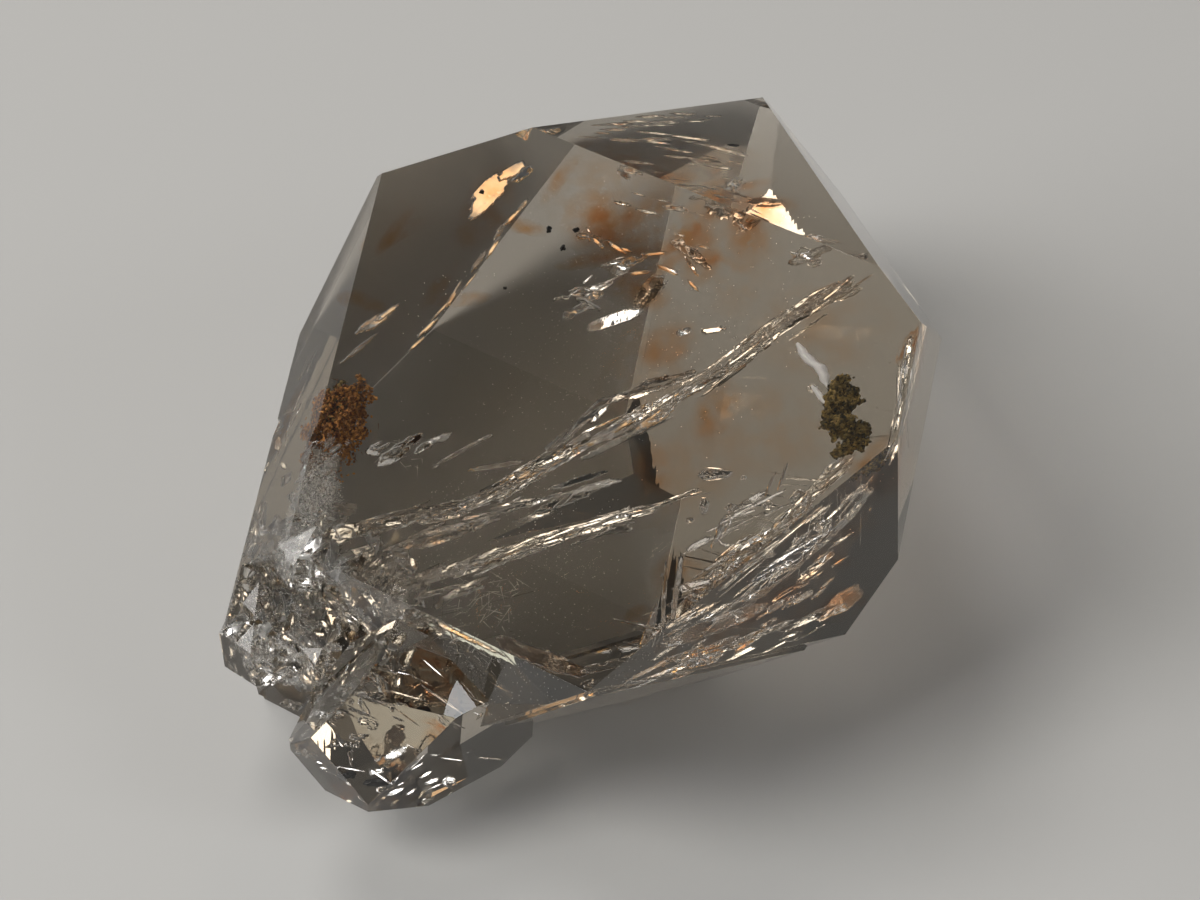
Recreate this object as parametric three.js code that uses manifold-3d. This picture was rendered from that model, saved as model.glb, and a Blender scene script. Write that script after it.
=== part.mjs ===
// A smoky, doubly terminated quartz crystal of the Herkimer kind, with a smaller crystal
// and a few stubby overgrowths grown into its lower left corner.
// Millimetres, +Z up. The crystal lies on a small flat face, and the origin is the
// centre of its bounding box, at the bottom.
//
// Quartz grows flat faces at fixed angles, so each crystal is written as the distance of
// its faces from its centre. Its solid is the space that lies behind all of them.

import * as THREE from 'three';
import { ConvexGeometry } from 'three/addons/geometries/ConvexGeometry.js';
import { mergeVertices } from 'three/addons/utils/BufferGeometryUtils.js';
import Module from 'manifold-3d';

const wasm = await Module();
wasm.setup();

// Tilt of each kind of face from the crystal's long axis, in degrees.
const PRISM = 90;
const UPPER = 51.79;
const LOWER = 180 - UPPER;
const BEVEL = 132.27;

// The main crystal: tilt and azimuth in degrees, then distance from its centre in mm.
const MAIN = {
  window: face(UPPER, 0, 7.8),
  crown: face(UPPER, 300, 11.95),
  farCrown: face(UPPER, 240, 14.4),
  rim: face(UPPER, 180, 14.95),
  nearCheek: face(UPPER, 120, 15.45),
  leftFlank: face(PRISM, 0, 11.75),
  foot: face(PRISM, 60, 14.3),
  underside: face(PRISM, 120, 12.0),
  rightFlank: face(PRISM, 180, 8.95),
  farTop: face(PRISM, 240, 17.05),
  topFlank: face(PRISM, 300, 12.85),
  leftEnd: face(LOWER, 0, 13.65),
  back: face(LOWER, 180, 11.65),
  backBevel: face(133.8, 320.4, 12.15),
  seat: face(BEVEL, 150, 10.05),
};

// The ledge: below a sloping riser the back face stopped growing early, so the space beyond
// the riser and the tread is cut away.
const LEDGE = {
  riser: face(73.9, 315, -8.45),
  tread: face(UPPER, 0, -8.1),
  behind: face(LOWER, 180, 15),
  below: face(PRISM, 120, 16),
  oneEnd: face(0, 0, 30),
  otherEnd: face(180, 0, 30),
};

// A stubby overgrowth in line with the main crystal, which widens its lower left corner.
const SHOULDER = {
  leftFlank: face(PRISM, 0, 11.75),
  leftEnd: face(LOWER, 0, 13.65),
  foot: face(PRISM, 60, 16.9),
  lowEnd: face(LOWER, 60, 17.9),
  step: face(UPPER, 0, 5.0),
  nearStep: face(UPPER, 60, 9.0),
  underside: face(PRISM, 120, 7.0),
  inside: face(PRISM, 240, 0),
  topSide: face(PRISM, 300, 2),
  behind: face(LOWER, 180, 0),
  backBevel: face(133.8, 320.4, 8),
};

// Stubs: short crystals of a millimetre or two that make the corner lumpy, in the main
// crystal's frame, each with its centre, its radius and its turn about the long axis.
const STUBS = [
  { centre: [8.6, 11.4, -4.6], radius: 1.5, turn: 12 },
  { centre: [7.2, 12.5, -5.6], radius: 1.7, turn: 38 },
  { centre: [9.4, 12.2, -7.6], radius: 2.0, turn: 50 },
  { centre: [7.7, 12.7, -8.2], radius: 1.8, turn: 21 },
  { centre: [10.6, 9.9, -2.6], radius: 1.3, turn: 33 },
  { centre: [6.4, 13.6, -6.3], radius: 1.2, turn: 7 },
];

// Terraces: thin sheets that one face has grown beyond its neighbours. Each stands out by
// its rise and stays back from the face's edges by its inset, or by less on one side.
const TERRACES = [
  { on: 'farTop', rise: 0.3, inset: 1.4, nearer: { farCrown: 0.3 } },
  { on: 'topFlank', rise: 0.2, inset: 1.6, nearer: { backBevel: 0.8 } },
  { on: 'leftEnd', rise: 0.3, inset: 1.5, nearer: { leftFlank: 0.6 } },
  { on: 'underside', rise: 0.15, inset: 1.4, nearer: { rightFlank: 0.4 } },
];

// Three-sided etch pits: the face, the place across and along it from the point nearest
// the crystal's centre, and the pit's radius, all in mm. A pit is half as deep as wide.
const PITS = [
  { on: 'leftEnd', across: 3.0, along: 1.5, radius: 0.7 },
  { on: 'leftEnd', across: -2.2, along: -1.0, radius: 0.5 },
  { on: 'topFlank', across: 1.0, along: 2.0, radius: 0.6 },
  { on: 'topFlank', across: -2.5, along: 6.0, radius: 0.8 },
  { on: 'farTop', across: 1.5, along: 8.0, radius: 0.5 },
];

// Chips knocked out of the edges, each with its centre and its radius.
const CHIPS = [
  { centre: [1.8, 13.5, 10.4], radius: 0.45 },
  { centre: [11.75, 4.6, -2.3], radius: 0.5 },
  { centre: [-4.6, 3.6, 18.4], radius: 0.4 },
];

// The smaller crystal: its centre and its turn, both seen from the main crystal.
const SMALL_CENTRE = [3.96, 13.4, -2.48];
const SMALL_TURN = [26.2, 63.5, -122.7];
const SMALL = {
  prism: [3.3, 4.2, 3.9, 5.25, 3.45, 6.15],
  upper: [4.9, 3.5, 6.05, 5.85, 4.8, 5.05],
  lower: [6.85, 5.75, 4.5, 5.15, 5.45, 4.5],
};

// The angle that the resting crystal is turned by, about the upright axis, in degrees.
const STANDING_TURN = 165.25;

// Tilt and azimuth in degrees, distance in mm.
function face(tilt, azimuth, distance) {
  const polar = THREE.MathUtils.degToRad(tilt);
  const around = THREE.MathUtils.degToRad(azimuth);
  const normal = new THREE.Vector3(
    Math.sin(polar) * Math.cos(around),
    Math.sin(polar) * Math.sin(around),
    Math.cos(polar),
  );
  return { normal, distance };
}

// The point where three faces meet, or null where two of them are parallel.
function meetingPoint(a, b, c) {
  const bc = new THREE.Vector3().crossVectors(b.normal, c.normal);
  const ca = new THREE.Vector3().crossVectors(c.normal, a.normal);
  const ab = new THREE.Vector3().crossVectors(a.normal, b.normal);
  const spread = a.normal.dot(bc);
  if (Math.abs(spread) < 1e-6) return null;
  return bc.multiplyScalar(a.distance)
    .addScaledVector(ca, b.distance)
    .addScaledVector(ab, c.distance)
    .divideScalar(spread);
}

// The corners of a crystal are the meeting points that lie outside none of its faces.
function cornersOf(faces) {
  const corners = [];
  const inside = (point) => faces.every((f) => f.normal.dot(point) < f.distance + 1e-4);
  for (let i = 0; i < faces.length; i++) {
    for (let j = i + 1; j < faces.length; j++) {
      for (let k = j + 1; k < faces.length; k++) {
        const point = meetingPoint(faces[i], faces[j], faces[k]);
        if (point && inside(point)) corners.push(point);
      }
    }
  }
  return corners;
}

function solidOf(geometry) {
  geometry.deleteAttribute('normal');
  geometry.deleteAttribute('uv');
  const merged = mergeVertices(geometry, 1e-4);
  const mesh = new wasm.Mesh({
    numProp: 3,
    vertProperties: merged.getAttribute('position').array,
    triVerts: new Uint32Array(merged.getIndex().array),
  });
  return new wasm.Manifold(mesh);
}

function crystalSolid(faces) {
  return solidOf(new ConvexGeometry(cornersOf(Object.values(faces))));
}

// Six faces of one kind, going round the long axis, from their six distances.
function ringOfFaces(tilt, distances) {
  return distances.map((distance, i) => face(tilt, 60 * i, distance));
}

function smallCrystalSolid() {
  const faces = [
    ...ringOfFaces(PRISM, SMALL.prism),
    ...ringOfFaces(UPPER, SMALL.upper),
    ...ringOfFaces(LOWER, SMALL.lower),
  ];
  const geometry = new ConvexGeometry(cornersOf(faces));
  const [first, tip, last] = SMALL_TURN.map(THREE.MathUtils.degToRad);
  geometry.rotateZ(last);
  geometry.rotateY(tip);
  geometry.rotateZ(first);
  geometry.translate(...SMALL_CENTRE);
  return solidOf(geometry);
}

function stubSolid({ centre, radius, turn }) {
  const sides = Array(6).fill(0.9 * radius);
  const ends = Array(6).fill(radius);
  const faces = [
    ...ringOfFaces(PRISM, sides),
    ...ringOfFaces(UPPER, ends),
    ...ringOfFaces(LOWER, ends),
  ];
  const geometry = new ConvexGeometry(cornersOf(faces));
  geometry.rotateX(THREE.MathUtils.degToRad(turn));
  geometry.rotateZ(THREE.MathUtils.degToRad(turn));
  geometry.translate(...centre);
  return solidOf(geometry);
}

function terraceSolid({ on, rise, inset, nearer }) {
  const faces = {};
  for (const [name, { normal, distance }] of Object.entries(MAIN)) {
    const moved = name === on ? rise : -(nearer[name] ?? inset);
    faces[name] = { normal, distance: distance + moved };
  }
  return crystalSolid(faces);
}

function pitSolid({ on, across, along, radius }) {
  const { normal, distance } = MAIN[on];
  const axis = new THREE.Vector3(0, 0, 1);
  const side = new THREE.Vector3().crossVectors(axis, normal).normalize();
  const rise = new THREE.Vector3().crossVectors(normal, side);
  const geometry = new THREE.ConeGeometry(2 * radius, 2 * radius, 3);
  const inward = normal.clone().negate();
  const turn = new THREE.Quaternion().setFromUnitVectors(new THREE.Vector3(0, 1, 0), inward);
  const place = normal.clone().multiplyScalar(distance)
    .addScaledVector(side, across)
    .addScaledVector(rise, along);
  geometry.applyQuaternion(turn);
  geometry.translate(place.x, place.y, place.z);
  return solidOf(geometry);
}

function chipSolid({ centre, radius }) {
  const geometry = new THREE.OctahedronGeometry(radius);
  geometry.rotateX(0.4);
  geometry.translate(...centre);
  return solidOf(geometry);
}

function specimenSolid() {
  const grown = [
    crystalSolid(SHOULDER),
    smallCrystalSolid(),
    ...STUBS.map(stubSolid),
    ...TERRACES.map(terraceSolid),
  ];
  const lost = [crystalSolid(LEDGE), ...PITS.map(pitSolid), ...CHIPS.map(chipSolid)];
  const whole = grown.reduce((solid, piece) => solid.add(piece), crystalSolid(MAIN));
  return lost.reduce((solid, piece) => solid.subtract(piece), whole);
}

function specimenGeometry() {
  const { vertProperties, triVerts } = specimenSolid().getMesh();
  const geometry = new THREE.BufferGeometry();
  geometry.setAttribute('position', new THREE.BufferAttribute(vertProperties, 3));
  geometry.setIndex(new THREE.BufferAttribute(triVerts, 1));
  return geometry;
}

// Lays the crystal on its seat face, then centres it over the origin.
function layOnSeat(mesh) {
  const down = new THREE.Vector3(0, 0, -1);
  const up = new THREE.Vector3(0, 0, 1);
  const lay = new THREE.Quaternion().setFromUnitVectors(MAIN.seat.normal, down);
  const turn = new THREE.Quaternion().setFromAxisAngle(up, THREE.MathUtils.degToRad(STANDING_TURN));
  mesh.quaternion.multiplyQuaternions(turn, lay);
  mesh.updateMatrixWorld();
  const box = new THREE.Box3().setFromObject(mesh, true);
  const centre = box.getCenter(new THREE.Vector3());
  mesh.position.set(-centre.x, -centre.y, MAIN.seat.distance);
}

const quartz = new THREE.MeshStandardMaterial({ color: 0x8d857c, roughness: 0.05, metalness: 0 });
const crystal = new THREE.Mesh(specimenGeometry(), quartz);
crystal.name = 'crystal';
layOnSeat(crystal);

const specimen = new THREE.Group();
specimen.add(crystal);

export default specimen;
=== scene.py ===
# %% [markdown]
# # A smoky Herkimer diamond
# A Herkimer diamond is a quartz crystal with a point at both ends. This one is smoky and
# glassy, lies on a small flat face, and holds a whole landscape inside it: healed
# fractures, bubbles, rust-coloured and dark clots, black specks and milky dust.
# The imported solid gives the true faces. This script gives them their glass, and builds
# what lies inside. Lengths are in millimetres until the helper `mm` makes them metres.

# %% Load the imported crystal
import math
from contextlib import contextmanager

import bmesh
import bpy
import numpy as np
from mathutils import Matrix, Vector, noise
from mathutils.bvhtree import BVHTree


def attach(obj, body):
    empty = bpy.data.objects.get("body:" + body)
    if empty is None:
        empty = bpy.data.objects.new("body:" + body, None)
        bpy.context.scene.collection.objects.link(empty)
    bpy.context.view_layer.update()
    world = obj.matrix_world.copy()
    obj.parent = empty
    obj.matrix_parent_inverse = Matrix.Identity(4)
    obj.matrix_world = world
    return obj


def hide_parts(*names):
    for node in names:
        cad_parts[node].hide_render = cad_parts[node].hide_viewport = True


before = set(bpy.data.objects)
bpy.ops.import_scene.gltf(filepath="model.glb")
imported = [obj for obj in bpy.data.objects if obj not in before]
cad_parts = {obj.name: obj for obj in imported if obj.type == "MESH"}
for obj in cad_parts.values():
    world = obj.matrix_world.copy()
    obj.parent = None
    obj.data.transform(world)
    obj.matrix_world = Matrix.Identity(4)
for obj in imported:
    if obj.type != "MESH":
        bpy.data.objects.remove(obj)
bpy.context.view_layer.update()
scene = bpy.context.scene
QUARTZ_IOR = 1.544


def mm(value):
    return value * 0.001


# %% [markdown]
# ## Camera
# The viewer looks down on the broad clear face from the front. The camera could be aimed
# by hand, but everything inside the crystal is placed by what this camera sees, so its
# place is worked out from a few values: where it aims, how far off it stands, how high,
# and how far it is rolled about its own line of sight.

# %% Camera
AIM = Vector((1.318, -8.097, 15.394))
STAND_OFF = 167.2
ELEVATION = math.radians(44.18)
ROLL = math.radians(-10.5)
LENS = 120
SENSOR = 36

turned = Matrix.Rotation(math.pi / 2 - ELEVATION, 3, "X") @ Matrix.Rotation(ROLL, 3, "Z")
view_right, view_up, view_back = (turned.col[i].copy() for i in range(3))
eye = AIM * 0.001 + view_back * mm(STAND_OFF)

camera = bpy.data.objects.new("camera", bpy.data.cameras.new("camera"))
scene.collection.objects.link(camera)
camera.matrix_world = Matrix.Translation(eye) @ turned.to_4x4()
camera.data.lens = LENS
camera.data.sensor_width = SENSOR
camera.data.clip_start = mm(10)
scene.camera = camera
print("camera at", [round(v * 1000, 1) for v in eye])

# %% [markdown]
# ## Nodes in short
# Finishes, the sky and the scattered grains are all trees of nodes. Each node is made,
# set and linked in the same few steps, so these steps have a helper: it names the kind
# of node, gives its settings, and for each input either a value or the output of another
# node to link to.

# %% Node helpers
def feed(tree, target, inputs):
    """Links each input of a node to an output, or sets it to a value."""
    for label, source in inputs.items():
        if isinstance(source, bpy.types.NodeSocket):
            tree.links.new(source, target.inputs[label])
        else:
            target.inputs[label].default_value = source


def node(tree, kind, inputs=None, **settings):
    made = tree.nodes.new(kind)
    for name, value in settings.items():
        setattr(made, name, value)
    feed(tree, made, inputs or {})
    return made


def maths(tree, operation, *values):
    """The output of a Math node that works on values or on other outputs."""
    return node(tree, "ShaderNodeMath", dict(enumerate(values)), operation=operation).outputs[0]


def blend(tree, amount, low, high):
    """The output of a Mix node that goes from one colour to another."""
    ends = {"Factor": amount, "A": (*low, 1), "B": (*high, 1)}
    return node(tree, "ShaderNodeMix", ends, data_type="RGBA").outputs["Result"]


def new_material(name, inputs):
    material = bpy.data.materials.new(name)
    material.use_nodes = True
    shader = material.node_tree.nodes["Principled BSDF"]
    feed(material.node_tree, shader, inputs)
    return material, material.node_tree, shader


print("node helpers ready")

# %% [markdown]
# ## Studio
# A glassy thing shows its surroundings more than itself, so the studio matters. The world
# is dim, and a few large soft lights stand round it. Dark gaps between the lights are
# what gives the crystal its dark facets, and a warm light low at the back gives it
# golden ones. The pale floor passes a hair below the crystal, so that the two skins
# don't fight over the same plane.

# %% Studio
FLOOR_SIZE = 1.6
FLOOR_DROP = mm(0.02)
FLOOR_COLOR = (0.38, 0.38, 0.375)
SKY_DIM = (0.06, 0.065, 0.07)
SKY_GLOW = (0.16, 0.16, 0.16)
GLOW_PLACE = (110, 42)


def add_floor():
    bpy.ops.mesh.primitive_plane_add(size=FLOOR_SIZE, location=(0, 0, -FLOOR_DROP))
    floor = bpy.context.object
    floor.name = "floor"
    pale = new_material("pale_floor", {"Base Color": (*FLOOR_COLOR, 1), "Roughness": 0.7})[0]
    floor.data.materials.append(pale)


def direction(azimuth, elevation):
    """The unit vector to a light: azimuth 0 is in front, 90 at the right."""
    around, up = math.radians(azimuth), math.radians(elevation)
    return Vector((math.sin(around) * math.cos(up), -math.cos(around) * math.cos(up), math.sin(up)))


def add_light(name, azimuth, elevation, distance, size, power, color):
    data = bpy.data.lights.new(name, "AREA")
    data.shape = "DISK"
    data.size = size
    data.energy = power
    data.color = color
    light = bpy.data.objects.new(name, data)
    back = direction(azimuth, elevation)
    light.location = back * distance
    light.rotation_euler = back.to_track_quat("Z", "Y").to_euler()
    scene.collection.objects.link(light)


def set_world():
    """A dim sky with one broad soft glow, so that the side opposite stays dark."""
    scene.world = bpy.data.worlds.new("studio")
    scene.world.use_nodes = True
    tree = scene.world.node_tree
    place = node(tree, "ShaderNodeTexCoord").outputs["Generated"]
    facing = node(tree, "ShaderNodeVectorMath", {0: place, 1: direction(*GLOW_PLACE)},
                  operation="DOT_PRODUCT").outputs["Value"]
    glow = node(tree, "ShaderNodeMapRange", {"Value": facing, "From Min": -0.1},
                interpolation_type="SMOOTHSTEP").outputs[0]
    feed(tree, tree.nodes["Background"], {"Color": blend(tree, glow, SKY_DIM, SKY_GLOW)})


add_floor()
set_world()
# Each lamp: azimuth, elevation, distance and size in metres, power, colour.
LAMPS = {
    "key": (-70, 60, 0.55, 0.26, 1.7, (1.0, 0.97, 0.93)),
    "left": (-88, 30, 0.55, 0.40, 2.0, (1.0, 0.98, 0.95)),
    "fill": (50, 26, 0.60, 0.22, 0.19, (0.93, 0.98, 1.0)),
    "front": (53, 34, 0.60, 0.14, 0.32, (0.96, 0.98, 1.0)),
    "warm": (163, 29, 0.45, 0.12, 0.055, (1.0, 0.62, 0.29)),
    "back": (-165, 68, 0.60, 0.24, 1.0, (1.0, 0.97, 0.93)),
    "side": (98, 50, 0.60, 0.10, 0.05, (1.0, 0.90, 0.76)),
    "top": (-158, 82.5, 0.60, 0.05, 0.016, (0.85, 0.98, 1.0)),
}
for name, lamp in LAMPS.items():
    add_light(name, *lamp)
scene.view_settings.view_transform = "Standard"
scene.cycles.max_bounces = 28
scene.cycles.transmission_bounces = 28
scene.cycles.glossy_bounces = 16
scene.cycles.sample_clamp_indirect = 8
print("lights:", list(LAMPS))

# %% [markdown]
# ## The crystal's own mesh
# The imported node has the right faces, but its edges are perfectly sharp. A real crystal's
# edges are worn a few hundredths of a millimetre, and that thin line catches the light.
# A copy is merged into one skin, its flat faces are joined again, and a Bevel modifier
# rounds its edges. Shading stays flat, because a smoothed normal would bend what is seen
# through a face like a lens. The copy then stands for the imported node.

# %% Crystal mesh
EDGE_WEAR = mm(0.05)
MERGE_REACH = mm(0.002)
FLAT_ANGLE = math.radians(0.5)
WORN_ANGLE = math.radians(12)


def new_object(name, mesh):
    thing = bpy.data.objects.new(name, mesh)
    scene.collection.objects.link(thing)
    return thing


def baked(thing, name):
    """A plain-mesh copy of a modified object, which then goes."""
    graph = bpy.context.evaluated_depsgraph_get()
    mesh = bpy.data.meshes.new_from_object(thing.evaluated_get(graph))
    mesh.name = name
    bpy.data.objects.remove(thing)
    return new_object(name, mesh)


@contextmanager
def edited(mesh):
    """Lends a mesh out as a bmesh, and writes it back afterwards."""
    body = bmesh.new()
    body.from_mesh(mesh)
    yield body
    body.to_mesh(mesh)
    body.free()


def worn_crystal():
    rough = new_object("rough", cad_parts["crystal"].data.copy())
    rough.data.materials.clear()
    with edited(rough.data) as skin:
        bmesh.ops.remove_doubles(skin, verts=skin.verts, dist=MERGE_REACH)
        bmesh.ops.dissolve_limit(skin, angle_limit=FLAT_ANGLE, verts=skin.verts, edges=skin.edges)
    bevel = rough.modifiers.new("worn edges", "BEVEL")
    bevel.width = EDGE_WEAR
    bevel.segments = 2
    bevel.limit_method = "ANGLE"
    bevel.angle_limit = WORN_ANGLE
    worn = baked(rough, "smoky_quartz")
    worn.data.shade_flat()
    return worn


quartz = worn_crystal()
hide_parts("crystal")
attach(quartz, "root")
print("crystal faces:", len(quartz.data.polygons))

# %% [markdown]
# ## Finding a place inside the crystal
# What lies inside is seen through a refracting face, so a thing placed straight behind
# its spot in the view would appear elsewhere. The helper `inside` follows the sight line
# to the crystal's skin, bends it there by Snell's law, and goes on to the wanted depth.
# It stops short of the far side. A position in the view is given in millimetres right of
# and above the point where the camera aims.

# %% Sight lines into the crystal
SKIN_GAP = mm(0.02)
FAR_SHARE = 0.95

sharp = bmesh.new()
sharp.from_mesh(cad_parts["crystal"].data)
skin_tree = BVHTree.FromBMesh(sharp)


def refracted(ray, normal):
    facing = -ray.dot(normal)
    slip = math.sqrt(1 - (1 - facing * facing) / QUARTZ_IOR ** 2)
    return (ray / QUARTZ_IOR + normal * (facing / QUARTZ_IOR - slip)).normalized()


def sight(x, y):
    """The sight ray to (x, y), where it meets the crystal, and the skin's normal there."""
    target = AIM * 0.001 + view_right * mm(x) + view_up * mm(y)
    ray = (target - eye).normalized()
    spot, normal, _, _ = skin_tree.ray_cast(eye, ray)
    return ray, spot, normal


def seen(x, y):
    """True where the sight line to (x, y) meets the crystal at all."""
    return sight(x, y)[1] is not None


def look_in(x, y):
    """Where the sight line to (x, y) meets the crystal, and its way on inside."""
    ray, spot, normal = sight(x, y)
    return spot, refracted(ray, normal)


def inside(x, y, depth):
    """The place `depth` mm behind the skin on the sight line to (x, y)."""
    spot, way = look_in(x, y)
    room = skin_tree.ray_cast(spot + way * SKIN_GAP, way)[3]
    return spot + way * min(mm(depth), FAR_SHARE * room)


def buried(point, cover=0.04):
    """True where a point lies inside the crystal, at least `cover` mm under its skin."""
    near, normal, _, _ = skin_tree.find_nearest(point)
    return (near - point).dot(normal) > mm(cover)


room_behind = (inside(0, 2, 99) - look_in(0, 2)[0]).length * 1000
print("room behind the window's middle:", round(room_behind, 1), "mm")

# %% [markdown]
# ## Patterns that several finishes share
# Two effects come back in most finishes: a cloudy mottling, for stains, clay and dust,
# and a slight waviness of a glassy skin. Each is a node group with its own inputs, built
# once, and every material places it with its own values.

# %% Shared node groups
def new_tree(name, kind, inputs, outputs):
    """A tree with named sockets, each given with its kind, and the tree's two end nodes."""
    tree = bpy.data.node_groups.new(name, kind)
    for way, sockets in (("INPUT", inputs), ("OUTPUT", outputs)):
        for label, socket in sockets.items():
            tree.interface.new_socket(label, in_out=way, socket_type="NodeSocket" + socket)
    return tree, tree.nodes.new("NodeGroupInput"), tree.nodes.new("NodeGroupOutput")


def object_noise(tree, scale, detail):
    """Fractal noise over the piece's own coordinates."""
    place = node(tree, "ShaderNodeTexCoord").outputs["Object"]
    inputs = {"Vector": place, "Scale": scale, "Detail": detail}
    return node(tree, "ShaderNodeTexNoise", inputs).outputs["Fac"]


def build_mottling():
    group, start, end = new_tree("mottling", "ShaderNodeTree", {"Scale": "Float", "Softness": "Float"},
                                 {"Mask": "Float"})
    softness = start.outputs["Softness"]
    spread = node(group, "ShaderNodeMapRange", {
        "Value": object_noise(group, start.outputs["Scale"], 4),
        "From Min": maths(group, "SUBTRACT", 0.5, softness),
        "From Max": maths(group, "ADD", 0.5, softness)})
    feed(group, end, {"Mask": spread.outputs[0]})
    return group


def build_waviness():
    sockets = {"Scale": "Float", "Strength": "Float", "Height": "Float"}
    group, start, end = new_tree("waviness", "ShaderNodeTree", sockets, {"Normal": "Vector"})
    bump = node(group, "ShaderNodeBump", {
        "Height": object_noise(group, start.outputs["Scale"], 2),
        "Strength": start.outputs["Strength"],
        "Distance": start.outputs["Height"]})
    feed(group, end, {"Normal": bump.outputs["Normal"]})
    return group


MOTTLING = build_mottling()
WAVINESS = build_waviness()


def pattern(tree, group, **values):
    """The output of a shared pattern that is placed in a material with its own values."""
    return node(tree, "ShaderNodeGroup", values, node_tree=group).outputs[0]


print("groups:", MOTTLING.name, WAVINESS.name)

# %% [markdown]
# ## Quartz
# Smoky quartz is clear glass that darkens with thickness, so the colour belongs in the
# volume and not on the skin: a Volume Absorption of warm grey, which lets a thin edge
# stay pale and a thick middle turn brown. Its faces are as flat as glass, with a very
# faint swell from growth, which only bends the edges seen through it by a hair. The
# upright faces also carry fine growth lines, square to the crystal's long axis. They are
# a few thousandths of a millimetre high, so a bump stands for them, and a share kept on
# each face says where they run.

# %% Quartz glass
SMOKE_COLOR = (0.61, 0.56, 0.475)
SMOKE_DENSITY = 75
LONG_AXIS = Vector((0.525, -0.521, 0.673))
CHEEK_NORMAL = Vector((0.374, -0.923, -0.087))
CHEEK_SPREAD = 0.1
UPRIGHT = (88, 92)
LINE_HEIGHT = mm(0.008)


def glass_material(name, color, ior):
    return new_material(name, {"Base Color": (*color, 1), "Roughness": 0, "IOR": ior,
                               "Transmission Weight": 1})


def mark_growth_lines():
    """The share of growth lines on each face: 1 on the upright faces and the cheek, or else 0."""
    share = quartz.data.attributes.new("growth_lines", "FLOAT", "FACE")
    for face, value in zip(quartz.data.polygons, share.data):
        tilt = math.degrees(face.normal.angle(LONG_AXIS))
        lined = UPRIGHT[0] < tilt < UPRIGHT[1] or face.normal.angle(CHEEK_NORMAL) < CHEEK_SPREAD
        value.value = 1.0 if lined else 0.0


def growth_lines(tree, normal):
    """Fine steps square to the crystal's long axis, where the growth_lines share says so."""
    place = node(tree, "ShaderNodeTexCoord").outputs["Object"]
    along = node(tree, "ShaderNodeVectorMath", {0: place, 1: LONG_AXIS}, operation="DOT_PRODUCT")
    steps = node(tree, "ShaderNodeTexNoise", {"W": along.outputs["Value"], "Scale": 500, "Detail": 3},
                 noise_dimensions="1D")
    share = node(tree, "ShaderNodeAttribute", attribute_name="growth_lines")
    height = maths(tree, "MULTIPLY", steps.outputs["Fac"], share.outputs["Fac"])
    bump = node(tree, "ShaderNodeBump", {"Height": height, "Distance": LINE_HEIGHT, "Normal": normal})
    return bump.outputs["Normal"]


def quartz_material():
    material, tree, shader = glass_material("smoky_quartz", (0.98, 0.975, 0.97), QUARTZ_IOR)
    swell = pattern(tree, WAVINESS, Scale=220, Strength=0.25, Height=0.00001)
    feed(tree, shader, {"Normal": growth_lines(tree, swell)})
    smoke = node(tree, "ShaderNodeVolumeAbsorption", {"Color": (*SMOKE_COLOR, 1), "Density": SMOKE_DENSITY})
    feed(tree, tree.nodes["Material Output"], {"Volume": smoke.outputs[0]})
    return material


mark_growth_lines()
quartz.data.materials.append(quartz_material())
print("quartz darkens by absorption, density", SMOKE_DENSITY)

# %% [markdown]
# ## Healed fractures
# A crack in quartz that never quite healed is a film of gas or water, thinner than paper.
# Seen nearly edge-on it mirrors light like silver, and looks like a bright ragged vein.
# It could be drawn on a face as a texture, but then it would lie flat. Here each one is
# a real sheet: a grid that follows a line inside the crystal and runs away from the
# viewer, crumpled by noise, broken into islands by more noise, and given a thin wall by
# a Solidify modifier. The film holds air, so light that meets it comes out of quartz:
# its IOR is 1 divided by quartz's.

# %% Sheet helpers
FILM_WALL = mm(0.012)
AIR_IOR = 1 / QUARTZ_IOR


def dress(thing, material):
    """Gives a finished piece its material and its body."""
    thing.data.materials.clear()
    thing.data.materials.append(material)
    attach(thing, "root")


class Sheets:
    """Grids of points gathered into one thin-walled piece."""

    def __init__(self):
        self.points = []
        self.fades = []
        self.faces = []

    def add(self, grid, keep, fade=lambda i, j: 1.0):
        """Adds a grid, without the cells that `keep` turns down."""
        rows, columns = len(grid), len(grid[0])
        first = len(self.points)
        self.points.extend(point for row in grid for point in row)
        self.fades.extend(fade(i, j) for i in range(rows) for j in range(columns))
        for i in range(rows - 1):
            for j in range(columns - 1):
                if keep(i, j):
                    a = first + i * columns + j
                    self.faces.append((a, a + 1, a + columns + 1, a + columns))

    def finish(self, name):
        """Drops what isn't buried in the crystal, and gives the rest its thin wall."""
        safe = [buried(point) for point in self.points]
        kept = [face for face in self.faces if all(safe[k] for k in face)]
        mesh = bpy.data.meshes.new(name)
        mesh.from_pydata([tuple(p) for p in self.points], [], kept)
        mesh.attributes.new("fade", "FLOAT", "POINT").data.foreach_set("value", self.fades)
        with edited(mesh) as body:
            loose = [v for v in body.verts if not v.link_faces]
            bmesh.ops.delete(body, geom=loose, context="VERTS")
        mesh.shade_smooth()
        thing = new_object("raw_" + name, mesh)
        wall = thing.modifiers.new("wall", "SOLIDIFY")
        wall.thickness = FILM_WALL
        wall.offset = 0
        return baked(thing, name)


def ripple(point, scale, seed, octaves=4):
    """Fractal noise of about -1 to 1 at a point in metres, `scale` waves a millimetre."""
    offset = Vector((seed * 3.1, seed * 1.7, seed * 2.3))
    return noise.fractal(point * 1000 * scale + offset, 0.6, 2.0, octaves)


def streaks(along, across, seed):
    """Noise of about -1 to 1 drawn out along a film, from places in mm."""
    place = Vector((along * 0.35 + seed * 3.1, across * 2.4 + seed, seed * 2.3))
    return noise.fractal(place, 0.6, 2.0, 4)


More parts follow.
